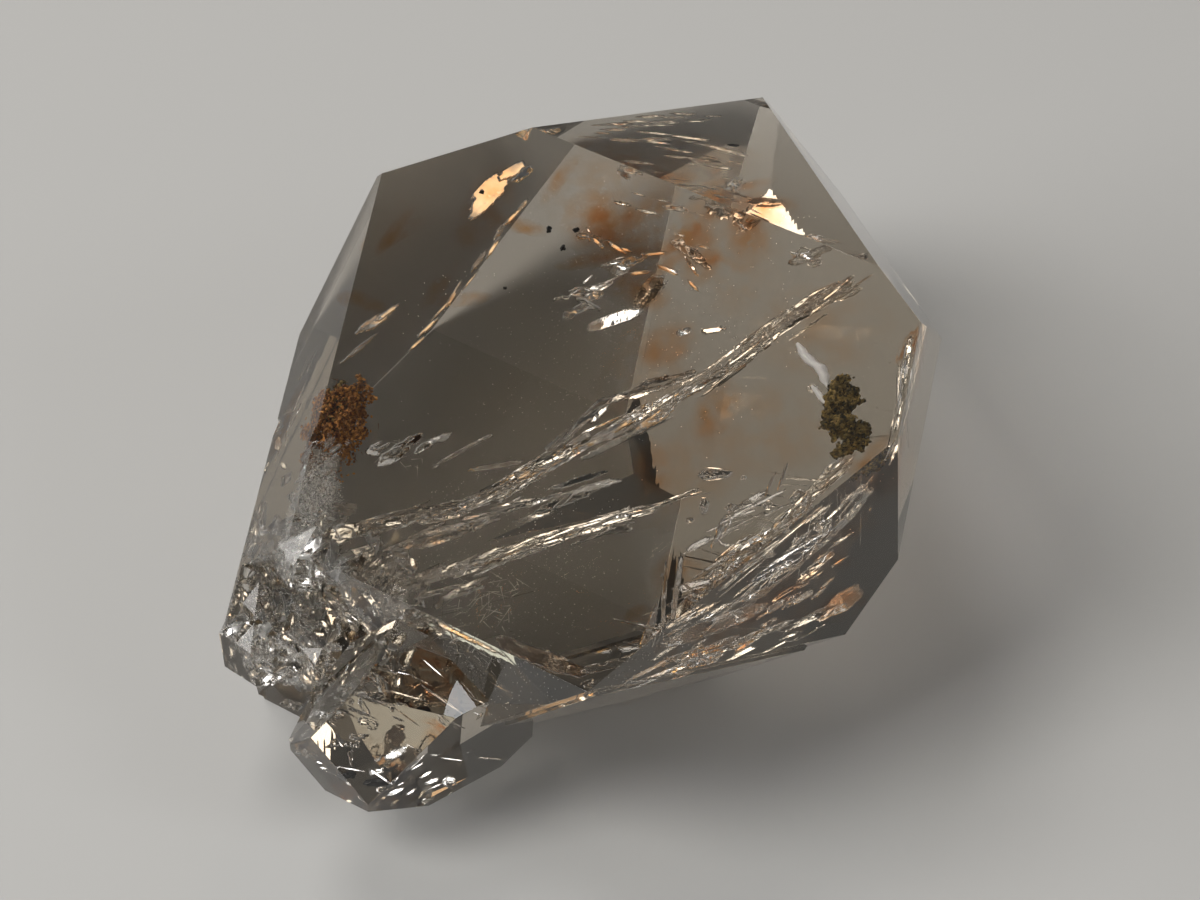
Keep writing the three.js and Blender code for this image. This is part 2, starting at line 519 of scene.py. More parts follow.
def spread_along(stops, count):
    """`count` evenly spaced (x, y, depth) along the line through the stops."""
    stops = np.array(stops, float)
    steps = np.linalg.norm(np.diff(stops[:, :2], axis=0), axis=1)
    far = np.concatenate([[0], np.cumsum(steps)])
    at = np.linspace(0, far[-1], count)
    return [tuple(np.interp(d, far, stops[:, k]) for k in range(3)) for d in at]


def span(i, count):
    """Where the i-th of `count` grid lines lies, from -1 at one end to 1 at the other."""
    return 2 * i / (count - 1) - 1


def view_axes(way):
    """The directions right and up, square to a way into the crystal."""
    right = view_up.cross(-way).normalized()
    return right, (-way).cross(right)


print("film wall", FILM_WALL * 1000, "mm, IOR", round(AIR_IOR, 3))

# %% Ribbons and flakes
RIBBON_STEP, RIBBON_MESH = 0.06, 0.07
FLAKE_MESH = 0.08


def ribbon(sheets, stops, width, lean, seed, crumple=0.16, broken=0.0):
    """A crumpled ribbon along the stops, `width` mm across, leaning off the sight line."""
    length = sum(math.dist(a[:2], b[:2]) for a, b in zip(stops, stops[1:]))
    rows, columns = int(length / RIBBON_STEP), max(7, int(width / RIBBON_MESH))
    line = spread_along(stops, rows)
    spine = [inside(*place) for place in line]
    grid = []
    for i, (centre, (x, y, _)) in enumerate(zip(spine, line)):
        way = look_in(x, y)[1]
        along = spine[min(i + 2, rows - 1)] - spine[max(i - 2, 0)]
        side = along.cross(way).normalized()
        slope = math.radians(lean) + 0.2 * ripple(centre, 0.25, seed + 5, 2)
        across = way * math.cos(slope) + side * math.sin(slope)
        facing = across.cross(along).normalized()
        row = []
        for j in range(columns):
            reach = width * (j / (columns - 1) - 0.5)
            lift = crumple * (streaks(i * RIBBON_STEP, reach, seed) + 0.25 * ripple(centre, 1.5, seed))
            row.append(centre + across * mm(reach) + facing * mm(lift))
        grid.append(row)

    def keep(i, j):
        edge = min(i, rows - 2 - i) / 12
        rim = min(j, columns - 2 - j) / 3
        fray = min(edge, rim, 1.0) - 1.0
        return streaks(i * 2 * RIBBON_STEP, j * RIBBON_MESH, seed + 9) > broken - 0.9 - 0.8 * fray

    sheets.add(grid, keep)


def flake(sheets, x, y, depth, wide, tall, lean, swing, turn, seed, crumple=0.12, broken=0.0):
    """A crumpled oval patch that faces the viewer, then leans and swings off that."""
    if not seen(x, y):
        return
    centre, way = inside(x, y, depth), look_in(x, y)[1]
    spin = Matrix.Rotation(math.radians(turn), 3, -way)
    right, up = (spin @ axis for axis in view_axes(way))
    right = Matrix.Rotation(math.radians(swing), 3, up) @ right
    up = Matrix.Rotation(math.radians(lean), 3, right) @ up
    facing = right.cross(up)
    rows, columns = (max(6, int(size / FLAKE_MESH)) for size in (tall, wide))
    grid = []
    for j in range(rows):
        row = []
        for i in range(columns):
            a, b = span(i, columns), span(j, rows)
            point = centre + right * mm(a * wide / 2) + up * mm(b * tall / 2)
            row.append(point + facing * mm(crumple * ripple(point, 0.7, seed)))
        grid.append(row)

    def keep(j, i):
        a, b, point = span(i, columns), span(j, rows), grid[j][i]
        ragged = 0.25 * ripple(point, 1.0, seed + 3)
        return a * a + b * b < 0.95 + ragged and ripple(point, 1.6, seed + 9) > broken - 0.8

    def fade(j, i):
        a, b = span(i, columns), span(j, rows)
        return max(0.0, 1 - a * a - b * b)

    sheets.add(grid, keep, fade)


def film_material(name, color, roughness):
    """Glass that holds air, hazy in patches up to a roughness, and finely rippled."""
    material, tree, shader = glass_material(name, color, AIR_IOR)
    cloud = pattern(tree, MOTTLING, Scale=900, Softness=0.15)
    haze = node(tree, "ShaderNodeMapRange", {"Value": cloud, "To Max": roughness})
    ripples = pattern(tree, WAVINESS, Scale=2500, Strength=0.5, Height=0.00002)
    feed(tree, shader, {"Roughness": haze.outputs[0], "Normal": ripples})
    return material


FRACTURE = film_material("healed_fracture", (1.0, 0.99, 0.97), 0.12)
FROST = film_material("frosted_fracture", (1.0, 0.99, 0.97), 0.75)
print("film materials:", FRACTURE.name, FROST.name)

# %% [markdown]
# ## Films that flash
# A film flashes only where it lies at the very angle that mirrors a lamp to the viewer.
# Left to chance, few would. So a flashing film is aimed: from its place inside, rays are
# sent all round and followed out of the crystal, past any total reflections, and the one
# that leaves towards the lamp gives the angle. Each film is then laid at that angle,
# drawn out in a line, and left slightly wavy, so that the flash breaks into streaks. A
# dark film beside a bright one is aimed the same way, at a gap between the lamps.

# %% Aiming a film
SHORTEST_TURN, LONGEST_TURN = 0.4, 1.69
NO_FLASH = 9
COST_PER_MM = 0.003
GOOD_AIM = 0.16
RAY_GAP = mm(0.01)
FIRST_NUDGE, NUDGE_SHRINK, NUDGE_ROUNDS = 0.10, 0.6, 5
SHARD_STEP, SHARD_MESH = 0.10, 0.05


def ball_of_directions(count):
    """Unit vectors spread evenly all round, along a spiral."""
    heights = [1 - 2 * (k + 0.5) / count for k in range(count)]
    turns = [k * math.pi * (3 - math.sqrt(5)) for k in range(count)]
    return [Vector((math.cos(a) * math.sqrt(1 - h * h), math.sin(a) * math.sqrt(1 - h * h), h))
            for h, a in zip(heights, turns)]


ALL_ROUND = ball_of_directions(500)
NUDGES = ball_of_directions(14)
LAMP_WAYS = {name: direction(*lamp[:2]) for name, lamp in LAMPS.items()}
LAMP_WAYS["gap"] = direction(-15, 42)
LAMP_WAYS["gap_behind"] = direction(-130, 16)
BRIGHT = ["front", "key", "left", "back"]
GAPS = ["gap", "gap_behind"]


def leaving(spot, way, bounces=3):
    """Where a ray from inside leaves to, and how many mm of quartz it passes first."""
    far = 0
    for _ in range(bounces):
        hit, normal, _, step = skin_tree.ray_cast(spot + way * RAY_GAP, way)
        if hit is None:
            break
        far += step * 1000
        outward = way.dot(normal)
        slip = 1 - QUARTZ_IOR ** 2 * (1 - outward * outward)
        if slip > 0:
            return (way * QUARTZ_IOR + normal * (math.sqrt(slip) - QUARTZ_IOR * outward)).normalized(), far
        way = (way - normal * (2 * outward)).normalized()
        spot = hit
    return None, far


def aimed_normal(spot, way, lamp):
    """The normal that mirrors a lamp to the viewer, and its fault: a short way is best."""
    def fault(out):
        if not SHORTEST_TURN < out.angle(way) < LONGEST_TURN:
            return NO_FLASH
        end, far = leaving(spot, out)
        return NO_FLASH if end is None else end.angle(LAMP_WAYS[lamp]) + COST_PER_MM * far

    best = min(ALL_ROUND, key=fault)
    reach = FIRST_NUDGE
    for _ in range(NUDGE_ROUNDS):
        best = min([best] + [(best + step * reach).normalized() for step in NUDGES], key=fault)
        reach *= NUDGE_SHRINK
    return (best - way).normalized(), fault(best)


def flash_normal(spot, way, lamps):
    """The first lamp in the list that a film here can mirror wins, or else the least bad."""
    tried = []
    for lamp in lamps:
        tried.append(aimed_normal(spot, way, lamp))
        if tried[-1][1] < GOOD_AIM:
            break
    return min(tried, key=lambda pair: pair[1])[0]


def shard(sheets, x, y, depth, angle, long, wide, lamps, seed, crumple=0.012, broken=0.2):
    """A film `long` by `wide` mm as seen in the view, lying at the angle that flashes."""
    if not seen(x, y):
        return
    centre, way = inside(x, y, depth), look_in(x, y)[1]
    normal = flash_normal(centre, way, lamps)
    right, up = view_axes(way)
    turn = math.radians(angle)
    axes = []
    for flat in (right * math.cos(turn) + up * math.sin(turn),
                 up * math.cos(turn) - right * math.sin(turn)):
        axes.append(flat - way * (flat.dot(normal) / way.dot(normal)))
    rows, columns = max(8, int(long / SHARD_STEP)), max(5, int(wide / SHARD_MESH))
    grid = []
    for i in range(rows):
        line = []
        for j in range(columns):
            along, across = span(i, rows) * long / 2, span(j, columns) * wide / 2
            lift = crumple * streaks(along, across, seed)
            line.append(centre + axes[0] * mm(along) + axes[1] * mm(across) + normal * mm(lift))
        grid.append(line)

    def keep(i, j):
        a, b = span(i + 0.5, rows), span(j + 0.5, columns)
        fray = 0.5 * streaks(a * long / 2, b * wide / 2, seed + 7)
        return a * a + b * b < 1.0 + fray and streaks(a * long, b * wide, seed + 9) > broken - 0.9

    def fade(i, j):
        a, b = span(i, rows), span(j, columns)
        return max(0.0, 1 - a * a - b * b)

    sheets.add(grid, keep, fade)


STEPS = (0.08, 0.22)


def shards(sheets, stops, count, sizes, spread, lamps, seed, slim=STEPS, crumple=0.012, broken=0.2):
    """Flashing shards in a line through the stops, one after another like stairs."""
    chance = np.random.default_rng(seed)
    line = spread_along(stops, count + 2)
    for k in range(1, count + 1):
        (xa, ya, _), (x, y, depth), (xb, yb, _) = line[k - 1:k + 2]
        angle = math.degrees(math.atan2(yb - ya, xb - xa))
        off = spread * chance.uniform(-0.5, 0.5)
        turn = math.radians(angle)
        order = list(chance.permutation(lamps))
        long = chance.uniform(*sizes)
        x, y = x - off * math.sin(turn), y + off * math.cos(turn)
        depth += chance.uniform(-0.4, 0.4)
        angle += chance.uniform(-7, 7)
        shard(sheets, x, y, depth, angle, long, long * chance.uniform(*slim), order, seed + k,
              crumple, broken)


print("films can be aimed at", list(LAMP_WAYS))

# %% [markdown]
# ## The long veins
# Three veins run up from the lower left to the right. The first is the longest and ends
# in a bright tangle near the right edge, with a branch above it. The second lies below
# it, and the third is a short crumpled patch at the right. Each starts from one or more
# crumpled ribbons, as a real crack steps from one level to the next, and lines of aimed
# shards give it its streaks. A piece of film is listed as rows, and each row names its
# maker and gives the maker's values in order. A stop is a place in the view and a depth.

# %% First vein
MIRROR = 45
LINE = (0.025, 0.06)
HAIR = (0.006, 0.011)
KEYS = ["key", "left", "front"]


def film_piece(name, rows, material=FRACTURE):
    """One piece of film, built row by row and dressed."""
    sheets = Sheets()
    for maker, *values in rows:
        maker(sheets, *values)
    dress(sheets.finish(name), material)


film_piece("first_vein", [
    (ribbon, [(-12.54, -3.76, 4.5), (-7.11, -2.59, 5), (-4.18, -2.09, 5.2), (-2.3, -0.67, 5.4),
     (0, 0.5, 5.6), (2.09, 1.5, 5.6)], 2.4, 10, 11, 0.1, 0.1),
    (ribbon, [(-1.67, -0.33, 5.8), (0.84, 0.92, 5.6), (4.18, 2.68, 5.2), (5.85, 3.93, 4.8),
     (7.11, 4.97, 4.4), (8.36, 5.85, 4), (10.53, 6.94, 3.2)], 2.2, 12, 12, 0.1),
    (ribbon, [(-2.17, -0.08, 6.2), (0, 1.92, 6), (2.01, 2.68, 5.8), (4.18, 3.22, 5.4)], 0.8, 38, 13, 0.1,
     0.1),
    (ribbon, [(-6.98, -0.67, 5), (-5.77, 0, 5), (-4.51, 0.67, 5)], 0.3, MIRROR, 16, 0.05),
    (shards, [(-11.29, -3.59, 4), (-7.11, -2.51, 4.4), (-4.18, -2.01, 4.6), (-2.3, -0.59, 4.8),
     (0, 0.59, 5)], 12, (0.8, 2.2), 0.9, BRIGHT, 700),
    (shards, [(-1.67, -0.25, 4.8), (1.67, 1.5, 4.8), (4.18, 2.8, 4.6), (5.85, 3.97, 4.2)], 8, (1, 2.4), 0.6,
     BRIGHT, 730),
    (shards, [(5.64, 3.76, 4.2), (7.19, 5.02, 3.8), (8.44, 5.94, 3.4), (10.45, 6.98, 2.8)], 16, (0.7, 1.8),
     0.8, BRIGHT, 760),
    (shards, [(-1.59, 0.17, 5.6), (0.42, 1.92, 5.6), (2.09, 2.59, 5.4), (4.18, 3.18, 5)], 9, (0.7, 1.6),
     0.3, BRIGHT, 790),
    (shards, [(-5.43, -2.26, 4.2), (-2.3, -0.5, 4.4), (2.09, 1.76, 4.6), (6.06, 4.26, 4),
     (10.45, 7.06, 2.6)], 30, (2, 4.5), 0.7, BRIGHT, 1230, LINE, 0.004),
    (shards, [(-11.29, -3.76, 3.8), (-7.52, -2.59, 4), (-4.18, -2.01, 4.2), (-1.67, -0.08, 4.6)], 12,
     (1.6, 3.6), 0.8, BRIGHT, 1260, LINE, 0.004),
    (shards, [(-7.52, -2.93, 4.6), (-2.3, -0.84, 5), (1.67, 1.09, 5), (5.85, 3.68, 4.4), (10.03, 6.52, 3)],
     20, (1.6, 4), 0.8, ["gap"], 1200, (0.04, 0.1)),
    (shards, [(-5.43, -2.42, 4), (-2.17, -0.67, 4.2), (1.67, 1.34, 4.4), (4.18, 2.93, 4.2)], 5, (5, 7.5),
     0.25, KEYS, 1500, HAIR, 0.003, -0.3),
    (shards, [(0.5, 0.59, 4), (4.18, 3.01, 4), (6.69, 4.77, 3.4), (10.53, 7.11, 2.4)], 6, (4, 7), 0.3, KEYS,
     1520, HAIR, 0.003, -0.3),
    (shards, [(-3.97, -2.76, 4.4), (-1.59, -2.09, 4.6), (0.5, -1.34, 4.6)], 6, (1.6, 3.4), 1.2, GAPS, 1542,
     (0.1, 0.24)),
    (shards, [(-9.53, -0.5, 3.4), (-7.94, 0.17, 3.6), (-6.27, 1, 3.8)], 7, (0.7, 1.7), 0.9, GAPS, 1541,
     (0.25, 0.55)),
])

# %% Second and third veins
film_piece("second_vein", [
    (ribbon, [(-9.53, -6.1, 3.4), (-7.11, -5.27, 3.8), (-5.22, -4.64, 4.2), (-3.34, -4.01, 4.4),
     (-1.67, -3.43, 4.6)], 1.6, 12, 21, 0.1, 0.1),
    (ribbon, [(-2.3, -3.64, 4.4), (0, -2.97, 4.4), (1.67, -2.55, 4.2), (4.18, -1.71, 3.8)], 0.4, MIRROR, 22,
     0.04),
    (ribbon, [(-9.2, -4.43, 3), (-7.11, -3.76, 3.4), (-4.18, -2.84, 4)], 0.8, 36, 24, 0.1, 0.2),
    (shards, [(-8.99, -5.94, 3), (-6.69, -5.1, 3.4), (-4.18, -4.26, 3.8), (-1.67, -3.39, 4)], 12,
     (0.8, 2.2), 0.6, BRIGHT, 800),
    (shards, [(-8.78, -6.02, 2.8), (-5.43, -4.85, 3.2), (-1.67, -3.51, 3.6), (1.67, -2.51, 3.6)], 22,
     (2, 4.2), 0.5, BRIGHT, 1290, LINE, 0.004),
    (shards, [(-9.82, -4.6, 2.8), (-7.11, -3.59, 3.2), (-4.18, -2.76, 3.6), (-1.67, -2.09, 4)], 12,
     (1, 2.8), 0.8, BRIGHT, 1390, (0.04, 0.12)),
    (shards, [(-8.57, -6.52, 2.6), (-6.69, -6.1, 2.8), (-5.02, -5.6, 3)], 8, (0.9, 2.2), 0.4, BRIGHT, 1310),
    (shards, [(-1.67, -3.34, 4), (1.67, -2.55, 3.8), (4.39, -1.67, 3.4)], 8, (1, 2.4), 0.2, BRIGHT, 1330,
     LINE),
    (shards, [(-8.36, -5.85, 3.4), (-5.02, -4.77, 3.8), (-1.67, -3.59, 4.2), (0.84, -3.01, 4)], 12,
     (1.4, 3.2), 0.7, ["gap"], 1270, (0.04, 0.1)),
    (shard, 0.79, -3.34, 3.6, 4, 1.2, 0.3, ["front", "key"], 830, 0.004, 0),
    (shards, [(-7.94, -5.94, 2.8), (-4.18, -4.43, 3.4), (-0.84, -3.26, 3.8), (4.18, -1.76, 3.4)], 6,
     (4, 6.5), 0.2, KEYS, 1550, HAIR, 0.003, -0.3),
    (shard, -6.06, -7.61, 2, -17, 5.2, 0.34, ["key", "left", "back"], 1570, 0.003, -0.5),
    (shard, -8.95, -7.36, 1.6, -4, 3.6, 0.8, ["key", "left", "back"], 1572, 0.006, 0),
    (shard, -2.17, -8.78, 3.4, -22, 5, 0.8, ["gap_behind"], 1571, 0.004, -0.2),
])

film_piece("third_vein", [
    (ribbon, [(4.68, -5.43, 4), (5.64, -4.6, 4.2), (6.9, -3.76, 4.2), (8.36, -2.51, 4), (9.61, -1.34, 3.6),
     (10.53, -0.5, 3)], 1.3, 22, 31, 0.12, 0.1),
    (shards, [(4.68, -5.52, 3.8), (6.9, -3.76, 3.8), (8.86, -2.09, 3.4), (10.45, -0.59, 2.8)], 12,
     (0.6, 1.6), 1.2, BRIGHT, 850),
    (shards, [(4.18, -5.94, 3.4), (6.9, -3.97, 3.4), (8.86, -2.3, 3), (10.66, -0.5, 2.4)], 12, (1.4, 3.2),
     1.2, BRIGHT, 1470, LINE, 0.004),
    (shards, [(4.18, -6.27, 3.6), (6.9, -4.1, 3.8), (9.61, -1.67, 3)], 12, (0.8, 2.2), 1.8, ["gap"], 1350),
    (shards, [(8.36, -2.09, 3.2), (9.61, -1.17, 3), (10.66, -0.08, 2.4)], 8, (0.4, 1), 1, BRIGHT, 1370),
    (shard, 3.85, -6.27, 3.2, 48, 4.2, 0.7, GAPS, 1580, 0.006, -0.2),
    (shard, 8.03, -4.43, 2.6, 35, 4, 0.8, GAPS, 1581, 0.006, -0.2),
])

# %% [markdown]
# ## The sparkling crack and the broken corner
# Near the middle of the window a small crack faces the light and flashes white, with
# darker swirls beside it. The lower left corner, where the crystals crowd together, is
# full of little cracks at every angle, and so is the smaller crystal. These are flakes
# of the same film. Some are oval and lean and swing each its own way, and the others are
# aimed to flash.

# %% Sparkling crack
film_piece("sparkling_crack", [
    (shard, 0.63, 5.48, 5, 17, 2.6, 0.6, ["front", "fill"], 41, 0.003, -0.3),
    (shard, -0.42, 6.02, 5.4, -30, 1.5, 0.35, ["gap"], 47),
    (shard, -0.08, 6.81, 5.4, 12, 1.4, 0.35, ["front", "fill"], 48),
    (shards, [(-1.25, 6.27, 5.2), (0, 7.27, 5.2), (1.67, 7.61, 5.2)], 8, (0.4, 1.1), 1.2, ["front", "key"],
     1590),
    (shard, 0.92, 7.61, 5.6, -20, 0.8, 0.25, ["front", "key"], 49),
    (shard, 2.01, 6.6, 5.4, 55, 1.9, 0.9, ["gap"], 50),
    (shard, 3.51, 4.93, 5, 10, 0.7, 0.35, ["front", "key"], 51),
    (shard, 4.77, 5.02, 4.8, 5, 1.1, 0.3, ["front", "key"], 52),
    (flake, -0.59, 6.52, 6.4, 1.6, 0.9, -45, -3, -12, 42),
    (flake, 0.84, 7.52, 6.8, 1.2, 0.7, 0, 45, 20, 43),
    (flake, 2.17, 6.6, 6.6, 1.9, 1.6, 60, -30, 50, 44, 0.32),
    (flake, -1.04, 5.77, 6, 1.4, 0.7, -45, 10, 25, 45, 0.2, 0.1),
    (flake, -1.67, 6.27, 6.2, 0.8, 0.6, 55, 10, 0, 46, 0.2),
])


# %% Corner cracks
def scatter(sheets, middle, reach, depths, count, sizes, seed, aimed=0.5, slim=(0.25, 0.7),
            turns=(0, 180)):
    """Flakes at random places around a spot in the view, a share of them aimed to flash."""
    chance = np.random.default_rng(seed)
    for k in range(count):
        x, y = (m + r * chance.uniform(-1, 1) for m, r in zip(middle, reach))
        depth, wide, turn = chance.uniform(*depths), chance.uniform(*sizes), chance.uniform(*turns)
        lean, swing = chance.uniform(10, 70), chance.uniform(-50, 50)
        if not seen(x, y):
            continue
        tall = wide * chance.uniform(*slim)
        if chance.uniform() < aimed:
            order = list(chance.permutation(BRIGHT))
            shard(sheets, x, y, depth, turn, wide, tall, order, seed + k)
        else:
            flake(sheets, x, y, depth, wide, tall, lean, swing, turn, seed + k, 0.2, 0.2)


film_piece("corner_cracks", [
    (scatter, (-12.54, -7.52), (2.93, 2.09), (0.2, 1.6), 84, (0.3, 1), 300, 0.95),
    (scatter, (-9.2, -6.27), (2.51, 1.67), (0.4, 2.2), 36, (0.3, 1), 420, 0.95),
    (scatter, (-14.13, -6.27), (1.09, 2.51), (0.2, 1), 34, (0.3, 0.9), 480, 0.95),
    (scatter, (-11.29, -6.27), (3.13, 3.13), (0.6, 4), 30, (0.6, 1.9), 60),
    (scatter, (-13.17, -0.84), (1.25, 2.93), (0.6, 3), 8, (0.5, 1.4), 90),
    (scatter, (-12.04, -7.52), (2.59, 2.09), (0.15, 0.7), 20, (0.7, 1.6), 2400, 1, (0.3, 0.6)),
    (scatter, (-13.88, -5.02), (0.92, 2.51), (0.15, 0.6), 10, (0.6, 1.3), 2450, 1, (0.3, 0.6)),
])

film_piece("frosted_cracks", [
    (scatter, (-11.7, -5.85), (3.34, 2.93), (0.8, 3), 30, (0.5, 1.3), 200),
    (scatter, (-14.13, -5.85), (1, 2.51), (0.3, 1.2), 26, (0.4, 1.2), 240, 0.9),
    (scatter, (-12.29, -7.11), (3.18, 2.76), (0.3, 1.5), 70, (0.4, 1.2), 2000, 0.9),
    (scatter, (-12.04, -2.93), (1.42, 1.84), (0.4, 1.4), 22, (0.4, 1.1), 2100, 0.9),
    (scatter, (-11.79, -1.17), (0.75, 1.84), (0.5, 1.2), 26, (0.4, 1), 2150, 0.9),
    (scatter, (-13.13, -5.85), (2.34, 3.34), (0.15, 0.6), 20, (0.9, 1.9), 2300, 1, (0.35, 0.7)),
], material=FROST)

film_piece("small_crystal_cracks", [
    (scatter, (-7.52, -11.91), (3.55, 2.3), (0.8, 5), 14, (0.4, 1.5), 120, 0.6),
    (scatter, (-7.52, -11.49), (3.76, 2.51), (0.6, 3), 16, (0.8, 2.6), 2200, 1, (0.02, 0.06), (138, 172)),
    (scatter, (-8.99, -13.79), (2.93, 0.92), (0.4, 1.6), 12, (0.3, 0.9), 2260, 1, (0.2, 0.5), (-10, 40)),
])

# %% Crown and cheek cracks
film_piece("crown_cracks", [
    (flake, 1.67, 12.96, 1.5, 3, 0.8, 70, 10, 12, 151, 0.2),
    (flake, 4.18, 12.12, 2, 2, 0.7, 60, -20, -10, 152, 0.25),
    (flake, 5.64, 11.08, 2.5, 1.6, 1, 40, 30, 40, 153, 0.25),
    (flake, 9.2, 8.78, 2.5, 1.4, 0.8, 50, 25, -30, 154, 0.25),
    (flake, 3.76, 8.15, 5, 2.6, 1, 55, -25, -35, 155, 0.3, 0.3),
    (shards, [(-0.42, 13.46, 1.2), (1.67, 13.79, 1.2), (4.18, 14.13, 1.2)], 8, (0.8, 2), 0.6, ["left"],
     900),
    (shards, [(1.25, 12.54, 1.6), (3.76, 12.33, 1.8), (5.85, 11.7, 2)], 20, (0.7, 2.2), 1.6, ["left"], 915),
    (shards, [(-0.84, 13.21, 0.8), (1.88, 13.67, 0.8), (5.35, 14.13, 0.8)], 12, (0.5, 1.6), 0.5, ["left"],
     960),
    (shards, [(3.76, 11.08, 2), (5.43, 10.45, 2.2), (6.9, 9.36, 2.4)], 8, (0.6, 1.4), 0.9, ["left", "key"],
     930),
    (shards, [(0.42, 10.45, 3), (2.51, 9.82, 3.4), (5.02, 8.99, 3.4)], 8, (0.5, 1.4), 1.4, BRIGHT, 945),
])

EDGE_BAND = [(1.09, -9.78, 0.8), (4.18, -8.78, 1), (7.52, -7.69, 1), (10.78, -6.44, 0.8)]
film_piece("cheek_cracks", [
    (shards, [(2.3, -8.36, 2), (4.18, -7.44, 2.4), (6.69, -6.27, 2.6), (9.61, -4.6, 2)], 14, (0.8, 2.4),
     1.6, ["gap"], 1400),
    (shards, [(2.51, -8.57, 1.6), (5.02, -7.31, 2), (7.94, -5.85, 2.2), (10.87, -3.97, 1.6)], 16,
     (0.6, 1.8), 1.8, ["warm", "back", "left", "key"], 1420),
    (shards, [(12.75, 4.39, 0.8), (12.62, 2.09, 0.8), (12.29, -0.42, 0.8)], 10, (0.8, 2.2), 0.35, BRIGHT,
     1440),
    (shards, EDGE_BAND, 14, (1.4, 3.6), 0.9, ["gap"], 1600, (0.05, 0.16)),
    (shards, EDGE_BAND, 16, (1, 3), 0.9, ["back", "left", "key"], 1620, (0.05, 0.14)),
])

# %% [markdown]
# ## Rusty stains
# Iron-rich water crept into a few cracks and left a thin amber stain, which shows gold
# and orange where light passes it. A stain has no skin of its own, so its sheet has the
# same IOR as its surroundings and bends nothing. It only tints what comes through. The
# tint comes and goes with the mottling, and fades out towards the sheet's rim through
# the `fade` value that each sheet carries. Fainter stains lie wide around the strong
# ones, and gold mirrors lie among them.

# %% Amber stains
def stain_material(name, tint):
    material, tree, shader = glass_material(name, (1, 1, 1), 1.0)
    cloud = pattern(tree, MOTTLING, Scale=900, Softness=0.16)
    rim = node(tree, "ShaderNodeAttribute", attribute_name="fade").outputs["Fac"]
    amount = maths(tree, "MULTIPLY", cloud, rim)
    feed(tree, shader, {"Base Color": blend(tree, amount, (1, 1, 1), tint)})
    return material


AMBER = stain_material("amber_stain", (0.96, 0.60, 0.31))
BROAD_STAINS = [
    (0, 9.4, 4), (2.09, 9.82, 4), (4.18, 8.15, 4.4), (6.06, 8.99, 3), (1.67, 6.69, 5), (2.84, 4.39, 5.4),
    (4.81, 1.67, 5), (2.09, -0.84, 5.4), (11.7, -1.09, 1), (10.12, -6.44, 1),
]
NARROW_STAINS = [
    (0, 9.11, 3), (1.25, 8.11, 3.2), (2.84, 8.53, 3.2), (4.18, 9.36, 3), (5.1, 7.86, 3.2),
    (-0.63, 7.86, 3.4), (2.3, 7.44, 3.6), (-8.57, 9.11, 2.4), (-10.03, 6.27, 2), (7.02, 10.24, 0.7),
    (6.35, 11.04, 0.8), (-1.67, 11.29, 3), (-3.34, 9.4, 3.4), (-5.77, 6.27, 3.6), (-8.36, 8.99, 3),
    (-6.69, 6.9, 3), (4.18, -7.94, 1), (5.64, -7.19, 1.2), (7.11, -6.27, 1.2), (8.36, -5.64, 1.2),
    (9.61, -4.6, 1), (10.53, -3.34, 0.9), (8.36, -6.77, 0.8), (2.51, -9.11, 0.8),
]
film_piece("amber_stains", [
    (flake, -4.81, 9.82, 5, 4.2, 2.6, 20, 15, 50, 171, 0.1),
    (flake, -4.68, 10.7, 2.4, 3.6, 2.2, 20, 15, 48, 163, 0.1),
    (flake, 0.75, 8.99, 7, 6.4, 4, 20, -10, -30, 172, 0.3),
    (flake, 3.76, 9.2, 6, 4, 3, 25, 15, 35, 173, 0.3),
    (flake, 7.02, 10.28, 2, 3, 2.6, 20, 15, 10, 174, 0.2),
    (flake, 1.67, -7.02, 3, 1.6, 1.3, 20, 10, 0, 175),
    (flake, 12.04, -0.84, 1.2, 1.4, 2.6, 20, 10, 0, 176),
    (flake, 9.86, -6.52, 1.5, 2.4, 1.7, 20, 10, 20, 177),
    (flake, -13.13, 1.25, 0.8, 1.2, 4.4, 20, 10, -18, 178, 0.15),
    (flake, 5.85, -4.6, 5, 3.6, 2, 20, 10, 35, 179, 0.25),
    (flake, 3.34, -5.43, 6, 3.6, 3, 20, 10, 65, 180, 0.25),
    *[(flake, *place, 3.4, 2.2, 20, 12, 40 * k, 1640 + k, 0.2) for k, place in enumerate(BROAD_STAINS)],
    *[(flake, *place, 3.0, 0.9, 25, 10, 25 * (k % 4) - 20, 1660 + k, 0.2)
      for k, place in enumerate(NARROW_STAINS)],
], material=AMBER)

# %% Faint stains and gold films
BLUSH = stain_material("faint_stain", (1.0, 0.84, 0.70))
FAINT_STAINS = [
    (7.11, 0.84, 6), (3.76, -0.84, 6), (2.09, 3.34, 6), (5.64, 8.36, 3.6), (0, 10.45, 4), (9.2, 5.02, 4),
    (4.18, 12.12, 2),
]
film_piece("faint_stains", [
    (flake, *place, 7.0, 5.0, 20, 10, 35 * k, 1780 + k, 0.3) for k, place in enumerate(FAINT_STAINS)
], material=BLUSH)

